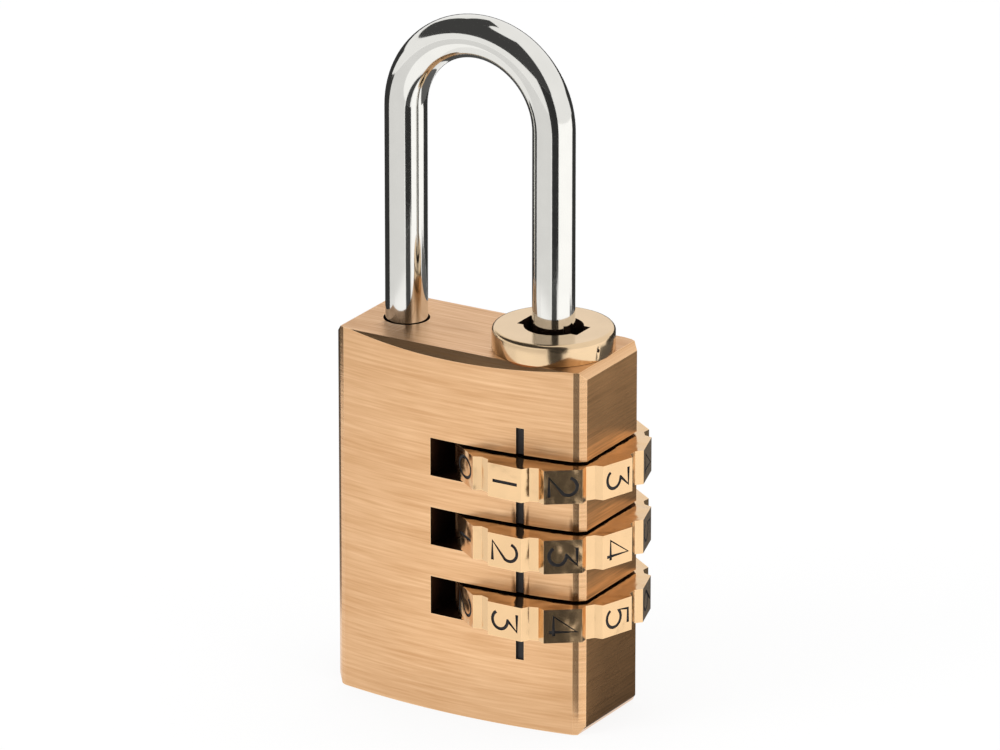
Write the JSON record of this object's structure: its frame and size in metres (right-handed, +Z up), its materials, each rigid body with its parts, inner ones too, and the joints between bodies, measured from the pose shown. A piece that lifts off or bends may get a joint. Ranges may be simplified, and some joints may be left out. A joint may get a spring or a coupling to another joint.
{
  "type": "combination padlock",
  "caption": "Small brass padlock with a round steel shackle, numbered dials in side slots and an inner code reset.",
  "frame": {"origin": "the middle of the body's underside, on which the padlock stands", "axes": "+Z up along the shackle's legs, +X to the side where the dials stand out, front is -Y with the index line"},
  "size_m": [0.0221, 0.0134, 0.0498],
  "materials": {
    "body_brass": "brushed across, pale, with dark undersides and edges",
    "collar_brass": "turned, satin",
    "dial_brass": "polished, with black numbers",
    "shackle_steel": "nickel plated, bright",
    "inner_steel": "plain"
  },
  "bodies": {
    "casing": {"lock_body": "body_brass", "top_collar": "collar_brass", "retaining_pin": "inner_steel", "lever_pin": "inner_steel", "base_cover": "body_brass", "change_spring": "inner_steel", "click_ball_top": "inner_steel", "click_ball_middle": "inner_steel", "click_ball_bottom": "inner_steel", "click_spring_top": "inner_steel", "click_spring_middle": "inner_steel", "click_spring_bottom": "inner_steel"},
    "shackle": {"shackle": "shackle_steel"},
    "dial_top": {"dial_top": "dial_brass"},
    "dial_middle": {"dial_middle": "dial_brass"},
    "dial_bottom": {"dial_bottom": "dial_brass"},
    "sleeve_top": {"code_sleeve_top": "inner_steel"},
    "sleeve_middle": {"code_sleeve_middle": "inner_steel"},
    "sleeve_bottom": {"code_sleeve_bottom": "inner_steel"},
    "change_lever": {"change_lever": "inner_steel"},
    "pressure_disc": {"pressure_disc": "inner_steel"}
  },
  "joints": [
    {"name": "shackle_lift", "type": "slide", "parent": "casing", "child": "shackle", "axis": [0, 0, 1], "range_m": [0, 0.0205]},
    {"name": "dial_top_turn", "type": "hinge", "parent": "casing", "child": "dial_top", "pos_m": [0.00533, 0, 0.01886], "axis": [0, 0, 1], "continuous": true},
    {"name": "dial_middle_turn", "type": "hinge", "parent": "casing", "child": "dial_middle", "pos_m": [0.00533, 0, 0.01373], "axis": [0, 0, 1], "continuous": true},
    {"name": "dial_bottom_turn", "type": "hinge", "parent": "casing", "child": "dial_bottom", "pos_m": [0.00533, 0, 0.0086], "axis": [0, 0, 1], "continuous": true},
    {"name": "change_lever_tilt", "type": "hinge", "parent": "casing", "child": "change_lever", "pos_m": [-0.00101, 0, 0.00239], "axis": [0, -1, 0], "range_deg": [0, 8.6]},
    {"name": "pressure_disc_lift", "type": "slide", "parent": "casing", "child": "pressure_disc", "axis": [0, 0, 1], "range_m": [0, 0.00096]},
    {"name": "sleeve_top_lift", "type": "slide", "parent": "dial_top", "child": "sleeve_top", "axis": [0, 0, 1], "range_m": [0, 0.00096], "deforming": ["change_spring"]},
    {"name": "sleeve_middle_lift", "type": "slide", "parent": "dial_middle", "child": "sleeve_middle", "axis": [0, 0, 1], "range_m": [0, 0.00096]},
    {"name": "sleeve_bottom_lift", "type": "slide", "parent": "dial_bottom", "child": "sleeve_bottom", "axis": [0, 0, 1], "range_m": [0, 0.000945]}
  ],
  "couplings": [
    {"joint": "change_lever_tilt", "follows": "sleeve_bottom_lift", "rad_per_m": 158.73},
    {"joint": "pressure_disc_lift", "follows": "sleeve_bottom_lift", "ratio": 1},
    {"joint": "sleeve_middle_lift", "follows": "sleeve_bottom_lift", "ratio": 1},
    {"joint": "sleeve_top_lift", "follows": "sleeve_bottom_lift", "ratio": 1}
  ]
}
